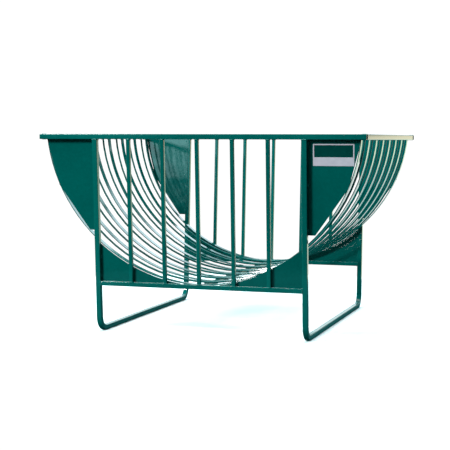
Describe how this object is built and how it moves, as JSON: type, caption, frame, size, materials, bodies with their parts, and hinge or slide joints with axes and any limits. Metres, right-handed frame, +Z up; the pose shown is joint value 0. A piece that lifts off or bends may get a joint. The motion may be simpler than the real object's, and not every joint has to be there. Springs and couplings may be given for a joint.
{
  "type": "outdoor cradle rack",
  "caption": "Free-standing welded steel rack with a long open-topped cradle of bent bars on two leg hoops, for a stacked or baled load.",
  "frame": {"origin": "centre of the footprint's bounding box, on the ground under the runners", "axes": "+X along the rack's length, +Y across it towards the rear long side, +Z up; the label plate is on the front side, at -Y"},
  "size_m": [2.44, 2.11, 1.462],
  "materials": {
    "green_paint": "gloss teal-green paint over welded steel",
    "label_face": "blank printed plate, satin"
  },
  "bodies": {
    "root": {"top_rail_front": "green_paint", "top_rail_rear": "green_paint", "top_end_rail_left": "green_paint", "top_end_rail_right": "green_paint", "leg_hoop_left": "green_paint", "leg_hoop_right": "green_paint", "lower_rail_front": "green_paint", "lower_rail_rear": "green_paint", "front_bar_1": "green_paint", "front_bar_2": "green_paint", "front_bar_3": "green_paint", "front_bar_4": "green_paint", "front_bar_5": "green_paint", "rear_bar_1": "green_paint", "rear_bar_2": "green_paint", "rear_bar_3": "green_paint", "rear_bar_4": "green_paint", "rear_bar_5": "green_paint", "cradle_flat_1": "green_paint", "cradle_flat_2": "green_paint", "cradle_flat_3": "green_paint", "cradle_flat_4": "green_paint", "cradle_flat_5": "green_paint", "cradle_flat_6": "green_paint", "cradle_flat_7": "green_paint", "cradle_flat_8": "green_paint", "cradle_rod_1": "green_paint", "cradle_rod_2": "green_paint", "cradle_rod_3": "green_paint", "cradle_rod_4": "green_paint", "cradle_rod_5": "green_paint", "cradle_rod_6": "green_paint", "cradle_rod_7": "green_paint", "cross_bearer": "green_paint", "upper_panel_front_left": "green_paint", "upper_panel_front_right": "green_paint", "upper_panel_rear_left": "green_paint", "upper_panel_rear_right": "green_paint", "lower_panel_front_left": "green_paint", "lower_panel_front_right": "green_paint", "lower_panel_rear_left": "green_paint", "lower_panel_rear_right": "green_paint", "label_plate": "label_face"}
  },
  "joints": []
}
